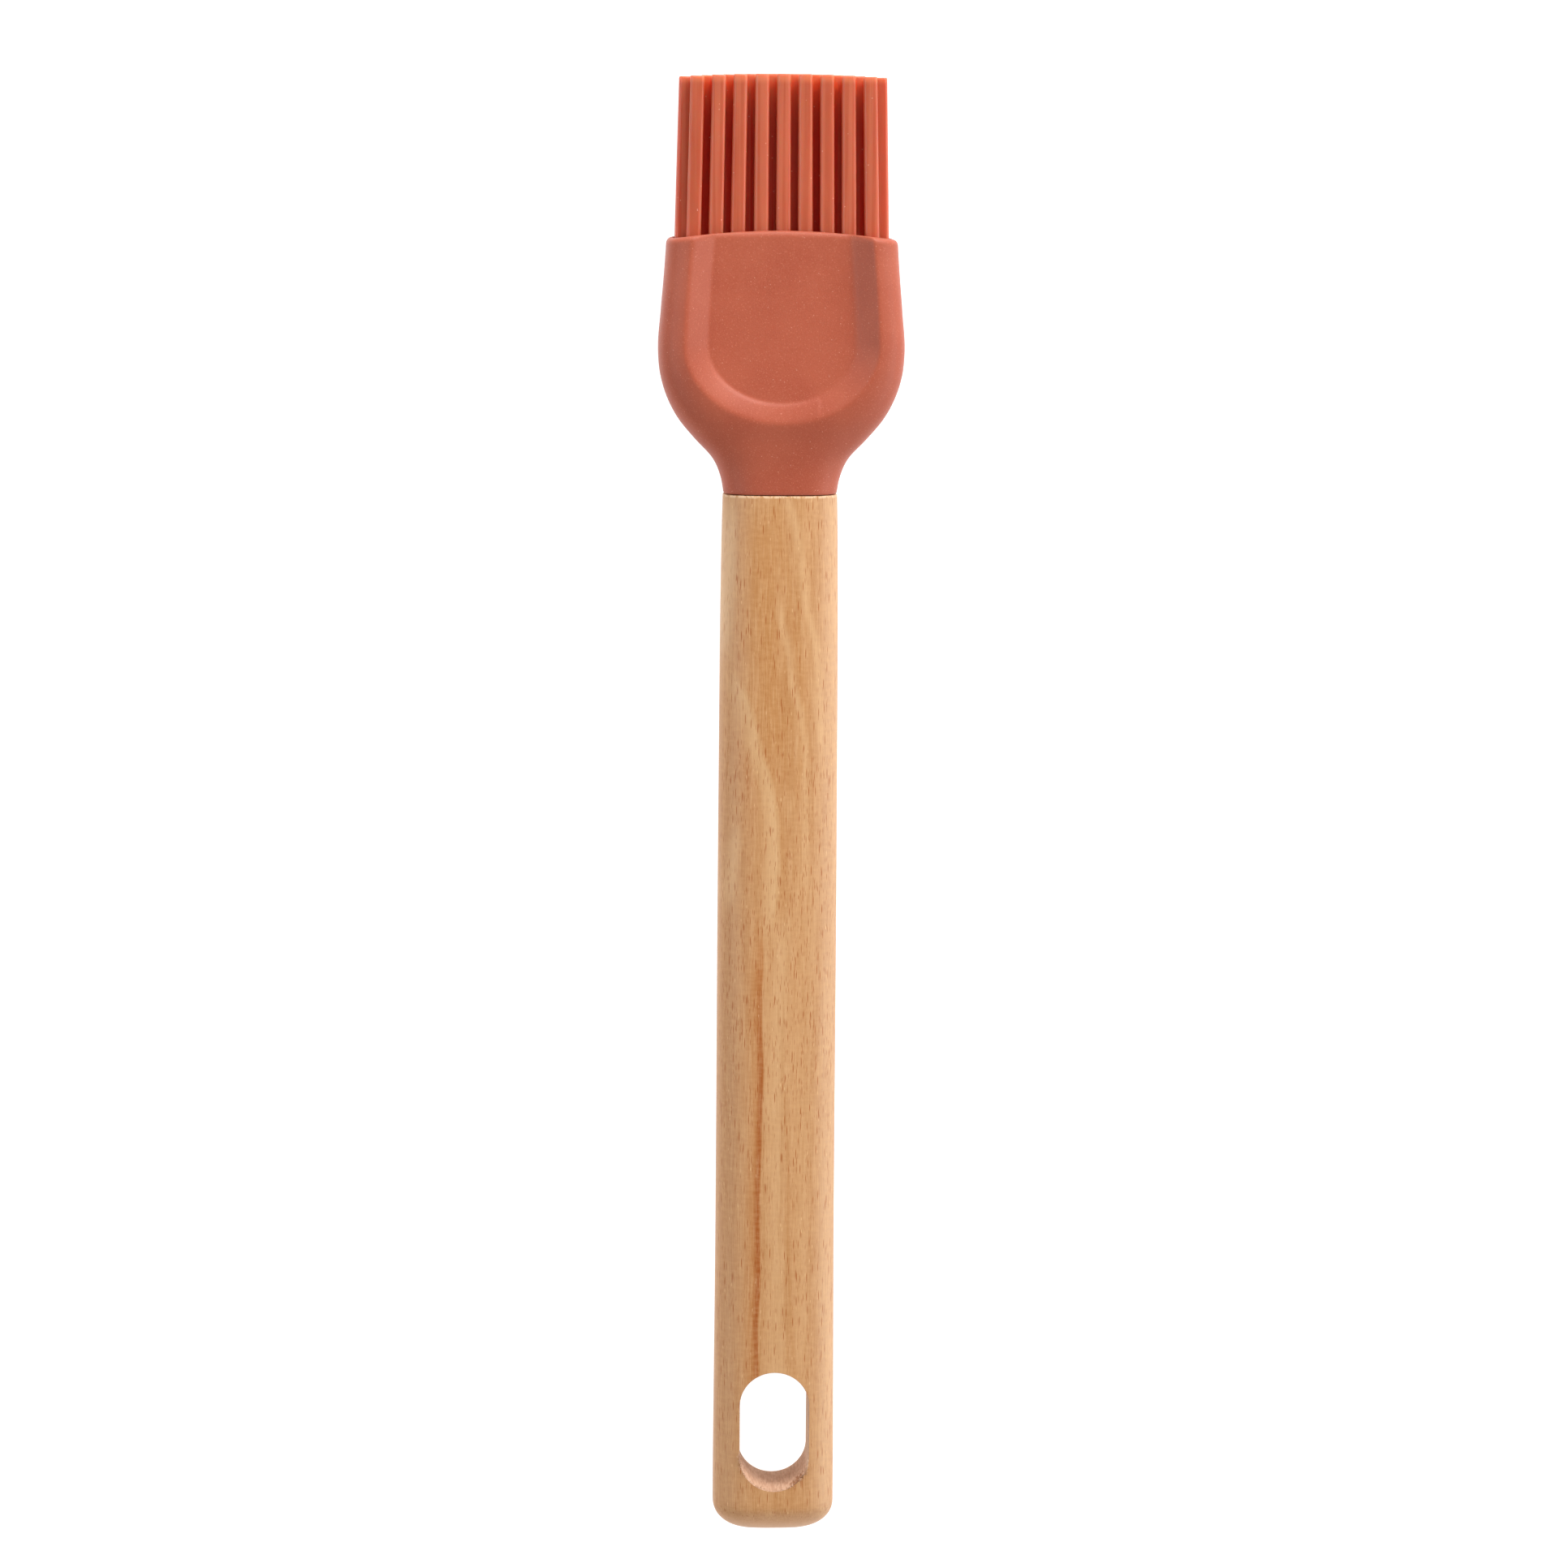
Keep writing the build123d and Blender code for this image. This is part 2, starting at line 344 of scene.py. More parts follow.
def stroke(points, right_side, left_side, fade):
    """How near each place lies to a line of the grain: 1 on it, falling to 0 on either side of it.
    The line runs through (Y, X) points in millimetres, lowest Y first, and fades at its two ends."""
    first, last = points[0][0], points[-1][0]
    share = beech.node("ShaderNodeMapRange", {"Value": wood_y, "From Min": first, "From Max": last}).outputs[0]
    curve = beech.node("ShaderNodeFloatCurve", {"Value": share})
    places = [((y - first) / (last - first), x / (2 * line_reach) + 0.5) for y, x in points]
    line = curve.mapping.curves[0]
    line.points[0].location, line.points[1].location = places[0], places[-1]
    for place in places[1:-1]:
        line.points.new(*place)
    curve.mapping.update()
    inputs = {"Value": curve.outputs[0], "To Min": -line_reach, "To Max": line_reach}
    aside = beech.math("SUBTRACT", wood_x, beech.node("ShaderNodeMapRange", inputs).outputs[0])
    near = beech.math("MULTIPLY", beech.between(aside, right_side, 0.0), beech.between(aside, -left_side, 0.0))
    start, end = beech.between(wood_y, first, first + fade), beech.between(wood_y, last, last - fade)
    return beech.math("MULTIPLY", near, beech.math("MULTIPLY", start, end))


def flecks(per_mm, kept, spread, lean=0.0, shift=(0, 0, 0)):
    """Short dashes along the grain, one in some of the cells of a stretched pattern."""
    cells = beech.cells(per_mm, turn=(0, 0, lean), shift=shift)
    chosen = beech.node("ShaderNodeSeparateColor", {"Color": cells["Color"]}).outputs["Red"]
    near = beech.between(cells["Distance"], spread, spread * 0.45)
    return beech.math("MULTIPLY", near, beech.between(chosen, 1 - kept, 1 - kept * 0.6))


bands = beech.noise((0.45, 0.018, 0.40), detail=3.0, distortion=0.6)
fibres = beech.noise((4.5, 0.20, 4.5), detail=3.0)
threads = beech.noise((10.0, 0.8, 10.0), detail=2.0)
shimmer = beech.noise((0.7, 1.6, 0.7), detail=3.0)
colour = beech.blend(beech.between(bands, 0.32, 0.68), tint(186, 133, 84), tint(198, 148, 101))
colour = beech.blend(beech.between(wood_x, -2.0, -8.0, 0.0, 0.45), colour, tint(192, 143, 104))
# Painted sheen: the right side of the handle is washed paler and greyer, as the reflection of the lamps on its
# right would make it.
colour = beech.blend(beech.between(wood_x, 3.0, 9.0, 0.0, 0.35), colour, tint(190, 152, 120))

# The lines of the grain, as (Y, X) in millimetres: the brown heart, the pale arch, then the rest
heart_line = [(-116, -3.0), (-92.8, -2.85), (-85.3, -3.1), (-73.2, -2.85), (-66, -2.95),
              (-53, -2.7), (-42.8, -2.5), (-33, -2.95), (-22, -2.65), (-12, -2.6)]
arch_line = [(-20, -0.6), (-13.9, -0.4), (-2.4, -0.1), (7.2, -1.6), (11, -2.8), (16.6, -4.0),
             (20.4, -5.3), (24.2, -7.2), (26.5, -9.4)]
pale_wood = tint(224, 184, 138)
dark_wood = tint(182, 124, 68)
for points, right_side, left_side, fade, strength, shade in (
    ([(2, 0.6), (20, -1.4), (36, -2.6), (56, -2.4)], 4.6, 4.0, 12.0, 0.62, dark_wood),
    ([(0, 2.4), (20, 3.8), (35, 1.4), (45, 0.2), (58, -1.6)], 1.6, 1.2, 8.0, 0.35, dark_wood),
    ([(8, 7.4), (20.5, 6.5), (28, 6.1), (37.4, 3.8), (46.8, 2.6), (56, -0.4)],
     1.3, 1.3, 7.0, 0.34, pale_wood),
    ([(-14, 4.4), (-2.4, 4.5), (5.3, 4.4), (16.7, 3.6), (22.3, 2.0), (28.8, 1.0), (38, -1.0)],
     1.1, 1.0, 6.0, 0.30, pale_wood),
    (arch_line, 0.7, 3.2, 7.0, 0.50, tint(220, 182, 136)),
    (arch_line, 2.4, 0.3, 7.0, 0.30, dark_wood),
    ([(-6, -3.6), (3.3, -3.9), (9.0, -5.2), (16, -7.6)], 1.0, 3.2, 8.0, 0.35, tint(190, 136, 92)),
    ([(22, -8.2), (39.3, -7.7), (56, -7.1)], 1.4, 2.4, 10.0, 0.60, tint(222, 188, 150)),
    ([(-16, -7.6), (-8.1, -7.1), (1, -6.4)], 1.2, 1.6, 5.0, 0.45, tint(222, 182, 138)),
    ([(-112, 0.6), (-76, 0.3), (-60, 0.1), (-40, 0.0), (-27, 0.4), (-12, 1.6)],
     2.0, 2.6, 10.0, 0.30, pale_wood),
    ([(-100, 5.2), (-60, 4.8), (-30, 5.4), (-5, 6.6)], 1.2, 2.6, 12.0, 0.18, pale_wood),
    # Painted sheen: a pale line along the handle's right edge, where the right lamps' reflection falls.
    ([(-124, 10.4), (60, 10.4)], 1.0, 3.0, 1.0, 0.14, tint(236, 210, 176)),
    (heart_line, 0.5, 2.8, 14.0, 0.72, tint(178, 110, 50)),
    (heart_line, 0.45, 1.15, 34.0, 0.86, tint(158, 80, 24)),
):
    amount = beech.math("MULTIPLY", stroke(points, right_side, left_side, fade), strength)
    colour = beech.blend(amount, colour, shade)

colour = beech.blend(beech.between(shimmer, 0.35, 0.7, 0.0, 0.16), colour, tint(222, 176, 124))
colour = beech.blend(beech.between(fibres, 0.45, 0.75, 0.0, 0.26), colour, tint(228, 186, 138))
colour = beech.blend(beech.between(fibres, 0.45, 0.22, 0.0, 0.34), colour, tint(170, 114, 66))
colour = beech.blend(beech.between(threads, 0.60, 0.8, 0.0, 0.32), colour, tint(158, 102, 56))
crowded = beech.math("MULTIPLY", beech.between(wood_y, 30.0, 0.0), beech.between(wood_y, -70.0, -30.0))
rays = flecks((5.4, 0.40, 5.4), 0.20, 0.45, lean=0.04)
fine_rays = flecks((7.5, 0.70, 7.5), 0.26, 0.45, lean=0.06, shift=(0.3, 0.7, 0.1))
fine_rays = beech.math("MULTIPLY", fine_rays, beech.between(crowded, 0.0, 1.0, 0.55, 1.0))
both = beech.math("MAXIMUM", rays, beech.math("MULTIPLY", fine_rays, 0.8))
colour = beech.blend(beech.math("MULTIPLY", both, 0.84), colour, tint(156, 76, 18))
bright = flecks((4.4, 0.8, 4.4), 0.04, 0.34, shift=(0.5, 0.2, 0.9))
colour = beech.blend(beech.math("MULTIPLY", bright, 0.5), colour, tint(240, 200, 152))

# Darker in a mottled band just where the butt starts to round over.
butt_mottle = beech.noise((0.8, 3.2, 0.8), detail=3.0)
near_butt = beech.math("MULTIPLY", beech.between(wood_y, -112.5, -116.5), beech.between(butt_mottle, 0.48, 0.66))
colour = beech.blend(beech.math("MULTIPLY", near_butt, 0.24), colour, tint(170, 108, 64))
end_grain = beech.between(wood_y, -115.2, -118.6)
stipple = beech.noise((4.0, 4.0, 4.0), detail=2.0)
colour = beech.blend(beech.math("MULTIPLY", end_grain, 0.7), colour,
                     beech.blend(stipple, tint(212, 160, 118), tint(228, 182, 146)))
torn = beech.noise((2.2, 1.5, 2.2), detail=3.0)
torn = beech.math("MULTIPLY", beech.between(wood_y, 52.30, 52.62), beech.between(torn, 0.40, 0.56))
colour = beech.blend(beech.math("MULTIPLY", torn, 0.6), colour, tint(236, 206, 172))
relief = beech.math("SUBTRACT", beech.math("MULTIPLY", fibres, 0.5), beech.math("MULTIPLY", both, 0.12))
beech.set(Base_Color=colour, Roughness=beech.between(fibres, 0.3, 0.7, 0.42, 0.56),
          Specular_IOR_Level=0.5, IOR=1.38,
          Normal=beech.bump(beech.math("ADD", relief, beech.math("MULTIPLY", threads, 0.3)), 0.05 * mm, 0.7))

raw = Finish("routed_beech")
fuzz = raw.noise((3.0, 3.0, 0.5), detail=4.0)
chatter = raw.noise((0.9, 0.9, 3.5), detail=2.0)
raw_colour = raw.blend(raw.between(fuzz, 0.3, 0.7), tint(184, 144, 117), tint(203, 166, 139))
scorch = (3.6 * mm, -110.2 * mm, mid_z + 4.6 * mm)
from_scorch = raw.node("ShaderNodeVectorMath", {0: raw.place, 1: scorch}, operation="DISTANCE").outputs["Value"]
ragged = raw.math("ADD", from_scorch, raw.between(fuzz, 0.3, 0.7, -0.8 * mm, 0.8 * mm))
raw_colour = raw.blend(raw.between(ragged, 2.2 * mm, 0.8 * mm, 0, 0.8), raw_colour, tint(140, 92, 56))
# Painted light: the slot's right wall, which faces the lamp on the left, is painted paler and greyer.
raw_x = raw.node("ShaderNodeSeparateXYZ", {"Vector": raw.place}).outputs["X"]
raw_colour = raw.blend(raw.between(raw_x, 5.2 * mm, 5.6 * mm, 0, 0.6), raw_colour, tint(212, 184, 158))
raw.set(Base_Color=raw_colour, Roughness=0.85, Specular_IOR_Level=0.2,
        Normal=raw.bump(raw.math("ADD", fuzz, raw.math("MULTIPLY", chatter, 0.6)), 0.22 * mm, 0.8))

raw_index = 1
for mesh in (handle_mesh, cutter_mesh):
    mesh.materials.append(beech.material)
    mesh.materials.append(raw.material)
for polygon in cutter_mesh.polygons:
    polygon.material_index = raw_index
uncut = place_in_scene("uncut_handle", handle_mesh)
cutter = place_in_scene("slot_cutter", cutter_mesh)
routing = uncut.modifiers.new("slot", "BOOLEAN")
routing.operation, routing.solver, routing.object = "DIFFERENCE", "EXACT", cutter


def evaluated_mesh(thing):
    """The mesh of a scene object with its modifiers run."""
    return bpy.data.meshes.new_from_object(thing.evaluated_get(bpy.context.evaluated_depsgraph_get()))


routed = evaluated_mesh(uncut)
bpy.data.objects.remove(uncut)
bpy.data.objects.remove(cutter)


class Pattern:
    """A Geometry Nodes tree with named inputs, and short ways to add its steps and to grow it."""

    def __init__(self, name, inputs):
        self.tree = bpy.data.node_groups.new(name, "GeometryNodeTree")
        self.sockets = {}
        for label, kind, start in inputs:
            socket = self.tree.interface.new_socket(label, in_out="INPUT", socket_type="NodeSocket" + kind)
            if start is not None:
                socket.default_value = start
            self.sockets[label] = socket.identifier
        self.tree.interface.new_socket("Result", in_out="OUTPUT", socket_type="NodeSocketGeometry")
        self.given = self.tree.nodes.new("NodeGroupInput").outputs

    def step(self, kind, inputs=None, **settings):
        return add_node(self.tree, kind, inputs, **settings).outputs

    def sum_of(self, operation, a, b=0.0, clamp=False):
        return self.step("ShaderNodeMath", {0: a, 1: b}, operation=operation, use_clamp=clamp)[0]

    def vector(self, x=0.0, y=0.0, z=0.0):
        return self.step("ShaderNodeCombineXYZ", {"X": x, "Y": y, "Z": z})[0]

    def random_vector(self, low, high):
        inputs = {0: low, 1: high, "Seed": self.given["Seed"]}
        return self.step("FunctionNodeRandomValue", inputs, data_type="FLOAT_VECTOR")[0]

    def finish(self, geometry):
        """Makes copies real, gives them their material and sends them out of the tree."""
        whole = self.step("GeometryNodeRealizeInstances", {"Geometry": geometry})[0]
        inputs = {"Geometry": whole, "Material": self.given["Finish"]}
        whole = self.step("GeometryNodeSetMaterial", inputs)[0]
        self.tree.links.new(whole, self.tree.nodes.new("NodeGroupOutput").inputs[0])

    def grow(self, values):
        """The mesh that the tree makes from these values."""
        holder = place_in_scene("being_made", bpy.data.meshes.new("nothing_yet"))
        growth = holder.modifiers.new("growth", "NODES")
        growth.node_group = self.tree
        for label, value in values.items():
            growth[self.sockets[label]] = value
        mesh = evaluated_mesh(holder)
        bpy.data.objects.remove(holder)
        return mesh


torn_edge = Pattern("torn_fibres", (
    ("Fibres", "Int", 90), ("Seed", "Int", 5), ("Radius", "Float", slot_half_width),
    ("Start angle", "Float", math.pi), ("Sweep angle", "Float", math.pi), ("Centre", "Vector", (0, 0, 0)),
    ("Scatter", "Float", 0.12 * mm), ("Fibre length", "Float", 0.55 * mm),
    ("Fibre radius", "Float", 0.045 * mm), ("Fibre tip radius", "Float", 0.008 * mm),
    ("Finish", "Material", None)))
given = torn_edge.given
arc = torn_edge.step("GeometryNodeCurveArc", {"Radius": given["Radius"], "Start Angle": given["Start angle"],
                                              "Sweep Angle": given["Sweep angle"], "Resolution": 48})[0]
arc = torn_edge.step("GeometryNodeTransform", {"Geometry": arc, "Translation": given["Centre"]})[0]
roots = torn_edge.step("GeometryNodeCurveToPoints", {"Curve": arc, "Count": given["Fibres"]}, mode="COUNT")[0]
spread = torn_edge.random_vector((-1, -1, -1), (1, 1, 0.4))
spread = torn_edge.step("ShaderNodeVectorMath", {0: spread, 3: given["Scatter"]}, operation="SCALE")[0]
roots = torn_edge.step("GeometryNodeSetPosition", {"Geometry": roots, "Offset": spread})[0]
fibre = torn_edge.step("GeometryNodeMeshCone", {"Vertices": 5, "Radius Top": given["Fibre tip radius"],
                                                "Radius Bottom": given["Fibre radius"],
                                                "Depth": given["Fibre length"]})[0]
tilt = torn_edge.random_vector((-1.5, -1.5, 0.0), (1.5, 1.5, 6.28))
tilt = torn_edge.step("FunctionNodeEulerToRotation", {"Euler": tilt})[0]
size = torn_edge.step("FunctionNodeRandomValue", {2: 0.5, 3: 1.3, "Seed": given["Seed"]})[1]
torn_edge.finish(torn_edge.step("GeometryNodeInstanceOnPoints", {"Points": roots, "Instance": fibre,
                                                                 "Rotation": tilt, "Scale": size})[0])

edge_z = mid_z + float(handle_face_height(slot_half_width * 0.7, slot_centre - slot_straight)) - 0.1 * mm
assembled = bmesh.new()
assembled.from_mesh(routed)
for start, sweep, count, seed in ((math.pi * 1.02, math.pi * 0.96, 80, 5), (math.pi * 0.96, 0.30, 26, 8),
                                  (math.pi * 1.78, 0.45, 40, 11)):
    before = len(assembled.faces)
    assembled.from_mesh(torn_edge.grow({
        "Fibres": count, "Seed": seed, "Start angle": start, "Sweep angle": sweep,
        "Centre": (0.0, slot_centre - slot_straight, edge_z), "Finish": raw.material}))
    assembled.faces.ensure_lookup_table()
    for face in assembled.faces[before:]:
        face.material_index = raw_index
assembled.to_mesh(routed)
assembled.free()
routed.name = "beech_handle"
routed.shade_smooth()
routed.set_sharp_from_angle(angle=math.radians(35))
handle = place_in_scene("beech_handle", routed)
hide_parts("handle")
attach(handle, "handle")


# The hood: one thick silicone moulding that stretches over the core. It swells from the neck to the
# shoulders, tapers to an arched rim with a rounded lip, and has a thumb recess on each face.
hood_round = 320
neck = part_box("hood")[0].y
rim_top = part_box("hood")[1].y
rim_drop = 1.4 * mm
# Half widths, half thicknesses, squareness and recess height, each after its distance along the brush
hood_stations = [(neck, 0.00915), (0.0554, 0.0096), (0.0586, 0.0110), (0.0617, 0.01385), (0.0649, 0.0165),
                 (0.0680, 0.0182), (0.0720, 0.01945), (0.0758, 0.0198), (0.0821, 0.01938), (0.0883, 0.01886),
                 (rim_top, 0.0184)]
hood_thickness = [(neck, 0.0060), (0.057, 0.0064), (0.061, 0.00712), (0.065, 0.0081), (0.070, 0.0087),
                  (0.0755, 0.0090), (0.085, 0.0091), (rim_top, 0.0091)]
hood_squareness = [(neck, 3.0), (0.060, 3.2), (0.068, 4.2), (0.076, 5.2), (rim_top, 5.2)]
bowl_y = 77.0 * mm
floor_size = (11.85 * mm, 9.2 * mm)
edge_size = (15.6 * mm, 12.45 * mm)
recess_floor = [(0.066, 0.00690), (0.070, 0.00672), (0.074, 0.00656), (0.079, 0.00642),
                (0.085, 0.00632), (rim_top, 0.00628)]
recess_taper, recess_curve = 2.4, 130
recess_right = 6 * mm
foot_step = 0.14 * mm
foot_share = 0.16
pocket_size = (17.4 * mm, 5.4 * mm)
pocket_bottom = 83.4 * mm
socket_gap = 0.05 * mm
tongue_root = (6.5 * mm, 3.5 * mm)
tongue_tip = (5.8 * mm, 2.9 * mm)
tongue_end = 78.7 * mm
socket_squareness, pocket_squareness = 5.0, 8.0
lip_radius = 1.0 * mm
pocket_edge_ease = 0.08 * mm
hood_spacing = 0.28 * mm


def soft_low(a, b, softness):
    """The lower of two heights, rounded over where they cross."""
    near = np.maximum(softness - np.abs(a - b), 0) / softness
    return np.minimum(a, b) - near * near * softness / 4


def hood_height(x, y):
    """The height of the hood's face above its middle, before the recess is pressed in."""
    squareness = through(hood_squareness, y)
    share = np.clip(np.abs(x) / through(hood_stations, y), 0, 1)
    return through(hood_thickness, y) * (1 - share ** squareness) ** (1 / squareness)


def recess_height(x, y):
    """The height of the thumb recess above the hood's middle: a floor, and a sloping wall round it."""
    down = np.maximum(bowl_y - y, 0)
    up = np.maximum(y - bowl_y, 0)
    reach = np.maximum(np.hypot(x, down), 1e-6)
    cos, sin = np.abs(x) / reach, down / reach
    narrow = 1 - recess_taper * up - recess_curve * up ** 2
    inner = narrow / np.sqrt((cos / floor_size[0]) ** 2 + (sin / floor_size[1]) ** 2)
    outer = narrow / np.sqrt((cos / edge_size[0]) ** 2 + (sin / edge_size[1]) ** 2)
    low = through(recess_floor, y)
    crest = hood_height(outer * cos, np.where(down > 0, bowl_y - outer * sin, y))
    climb = (reach - inner) / (outer - inner)
    step_up = foot_step * np.clip(down / floor_size[1] * 2.5, 0, 1) * np.where(x < recess_right, 1, 0.3)
    foot = np.clip(climb / foot_share, 0, 1)
    bulge = np.where(x > recess_right, 1.0, 1.15)
    slope = np.where((climb > 0) & (climb < 1), 1 - (1 - np.clip(climb, 0, 1)) ** bulge, climb)
    wall = low + step_up * foot * foot * (3 - 2 * foot) + (crest - low - step_up) * slope
    softness = np.where(x > 4 * mm, 0.40, 0.08) * mm
    return -soft_low(-low, -wall, softness)


def hood_ring(nominal_y):
    """One loop round the hood. Near the rim the loops arch with it."""
    half_width, thickness, squareness = (float(through(s, nominal_y)) for s in
                                         (hood_stations, hood_thickness, hood_squareness))
    flat = oval(half_width, thickness, squareness, hood_round)
    x, z = flat[:, 0], flat[:, 1]
    arch = float(through([(0.068, 0), (0.080, 0.35), (rim_top, 1.0)], nominal_y))
    y = nominal_y - rim_drop * arch * (x / half_width) ** 2
    x = x * through(hood_stations, y) / half_width
    pressed = soft_low(np.abs(z), recess_height(x, y), 0.2 * mm)
    z = np.where(np.abs(z) > 3 * mm, np.sign(z) * pressed, z)
    return np.stack([x, y, mid_z + z], 1)


hood_loops = []
for (half_width, half_thickness), y in ((tongue_tip, tongue_end + socket_gap), (tongue_root, neck)):
    hood_loops.append(ring(half_width + socket_gap, half_thickness + socket_gap, socket_squareness, y,
                           hood_round))
neck_loop = hood_ring(neck)
neck_centre = np.array([0, neck, mid_z])
for width_share, thickness_share, rise in ((0.982, 0.974, -0.04), (0.994, 0.991, 0.01)):
    shrunk = (neck_loop - neck_centre) * (width_share, 1, thickness_share)
    hood_loops.append(neck_centre + shrunk + (0, rise * mm, 0))
for y in np.arange(neck + hood_spacing / 2, rim_top - lip_radius, hood_spacing):
    hood_loops.append(hood_ring(y))
lip_start = hood_ring(rim_top - lip_radius)
pocket = oval(pocket_size[0], pocket_size[1], pocket_squareness, hood_round)
pocket_edge = lip_start.copy()
pocket_edge[:, 0], pocket_edge[:, 2] = pocket[:, 0], mid_z + pocket[:, 1]
inward = pocket_edge - lip_start
wall = np.linalg.norm(inward, axis=1, keepdims=True)
rounding = np.minimum(lip_radius, 0.88 * wall)
for turn in np.linspace(0, math.pi / 2, 8):
    loop = lip_start + inward / wall * rounding * (1 - math.cos(turn))
    loop[:, 1] += lip_radius * math.sin(turn)
    hood_loops.append(loop)
inner_lip = pocket_edge + (0, lip_radius, 0)
hood_loops.append(inner_lip - inward / wall * pocket_edge_ease)
hood_loops.append(inner_lip - (0, pocket_edge_ease, 0))
for y in (92.0 * mm, 88.0 * mm, pocket_bottom):
    loop = pocket_edge.copy()
    loop[:, 1] = y
    hood_loops.append(loop)
hood_mesh = loops_to_mesh("silicone_hood", hood_loops)

terracotta = Finish("terracotta_silicone")
cloud = terracotta.noise((0.12, 0.12, 0.12), detail=2.0)
speckle = terracotta.noise((4.5, 4.5, 4.5), detail=3.0, roughness=0.7)
colour = terracotta.blend(terracotta.between(cloud, 0.3, 0.7), tint(165, 80, 57), tint(171, 86, 62))
colour = terracotta.blend(terracotta.between(speckle, 0.35, 0.7, 0, 0.3), colour, tint(194, 104, 80))
dust = terracotta.specks(0.8, 0.085, 0.05)
colour = terracotta.blend(terracotta.math("MULTIPLY", dust, 0.35), colour, tint(232, 176, 152))
powder = terracotta.specks(2.3, 0.26, 0.12)
colour = terracotta.blend(terracotta.math("MULTIPLY", powder, 0.30), colour, tint(214, 136, 108))
terracotta.set(Base_Color=colour, Roughness=terracotta.between(speckle, 0.3, 0.7, 0.42, 0.54),
               Specular_IOR_Level=0.5, IOR=1.36,
               Subsurface_Weight=0.12, Subsurface_Radius=(1.0, 0.28, 0.16), Subsurface_Scale=1.2 * mm,
               Normal=terracotta.bump(speckle, 0.035 * mm, 0.6))
hood_mesh.materials.append(terracotta.material)
hood = place_in_scene("silicone_hood", hood_mesh)
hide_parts("hood")
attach(hood, "head")


# The bristle combs: five rows of soft silicone bristles, each row moulded on its own bar and
# stacked in the hood's pocket, so that every second row stands in the gaps of its neighbours.
silicone = Finish("bristle_silicone")
mottle = silicone.noise((0.5, 0.08, 0.5), detail=3.0)
pull = silicone.noise((3.5, 0.25, 3.5), detail=3.0)
streaks_and_highlights = silicone.noise((1.5, 0.012, 0.3), detail=1.0)
colour = silicone.blend(silicone.between(mottle, 0.3, 0.7), tint(178, 82, 53), tint(185, 89, 59))
# Painted shade and glow: everything within about 4 mm of the tuft's middle plane is painted a deep red, as the
# shade between the rows would leave it. It turns orange towards the tips, as light shining through them would
# make it. Towards the ends of the tuft this painted shade is paler.
spot = silicone.node("ShaderNodeSeparateXYZ", {"Vector": silicone.place}).outputs
off_middle = silicone.math("ABSOLUTE", silicone.math("SUBTRACT", spot["Z"], mid_z))
towards_tip = silicone.between(spot["Y"], 110.0 * mm, 119.5 * mm)
inside = silicone.blend(towards_tip, tint(218, 52, 18), tint(238, 100, 54))
towards_side = silicone.between(silicone.math("ABSOLUTE", spot["X"]), 12.6 * mm, 14.2 * mm)
inside = silicone.blend(towards_side, inside, tint(194, 84, 54))
colour = silicone.blend(silicone.between(off_middle, 3.2 * mm, 4.6 * mm), inside, colour)
# Painted glow: the last millimetre of the tips is painted a paler orange, as light shining through them would
# make it.
colour = silicone.blend(silicone.between(spot["Y"], 118.2 * mm, 119.4 * mm, 0, 0.7), colour, tint(216, 122, 82))
colour = silicone.blend(silicone.between(pull, 0.55, 0.8, 0, 0.12), colour, tint(204, 110, 78))
# Pale streaks along the bristles: part faint mould streaking, part painted highlight standing in for the lamps'
# glints on the bristle faces.
colour = silicone.blend(silicone.between(streaks_and_highlights, 0.44, 0.58, 0, 0.30), colour, tint(208, 121, 91))
lint = silicone.specks(0.6, 0.07, 0.04)
colour = silicone.blend(silicone.math("MULTIPLY", lint, 0.5), colour, tint(236, 186, 160))
silicone.set(Base_Color=colour, Roughness=silicone.between(pull, 0.3, 0.7, 0.38, 0.48),
             Specular_IOR_Level=0.5,
             Subsurface_Weight=0.50, Subsurface_Radius=(1.0, 0.06, 0.02), Subsurface_Scale=1.8 * mm,
             Normal=silicone.bump(pull, 0.03 * mm, 0.7))

comb = Pattern("bristle_row", (
    ("Bristles", "Int", 9), ("Row height", "Float", 0.0), ("Seed", "Int", 1),
    ("Pitch at the bar", "Float", 3.57 * mm), ("Pitch at the tips", "Float", 3.44 * mm),
    ("Bristle width", "Float", 2.34 * mm), ("Bristle depth", "Float", 1.84 * mm),
    ("Corner radius", "Float", 0.50 * mm), ("Tip rounding", "Float", 0.22 * mm),
    ("Bar bottom", "Float", 83.5 * mm), ("Bar top", "Float", 90.4 * mm), ("Bar depth", "Float", 2.1 * mm),
    ("Tip height", "Float", 119.98 * mm), ("Tip arch", "Float", 0.6 * mm),
    ("Half tuft width", "Float", 17.0 * mm), ("Finish", "Material", None)))
given, step, sum_of, vector = comb.given, comb.step, comb.sum_of, comb.vector
length = sum_of("ADD", sum_of("SUBTRACT", given["Tip height"], given["Bar top"]), 1 * mm)
spine_points = 15
spine = step("GeometryNodeCurvePrimitiveLine", {"Start": (0, 0, 0), "End": (0, 1, 0)})[0]
spine = step("GeometryNodeResampleCurve", {"Curve": spine, "Count": spine_points})[0]
share = sum_of("DIVIDE", step("GeometryNodeInputIndex")[0], spine_points - 1.0)
left = sum_of("POWER", sum_of("SUBTRACT", 1.0, share), 3.0)
from_tip = sum_of("MULTIPLY", left, length)
spine_place = vector(y=sum_of("MULTIPLY", from_tip, -1.0))
spine = step("GeometryNodeSetPosition", {"Geometry": spine, "Position": spine_place})[0]
near_tip = sum_of("SUBTRACT", 1.0, sum_of("DIVIDE", from_tip, given["Tip rounding"]), clamp=True)
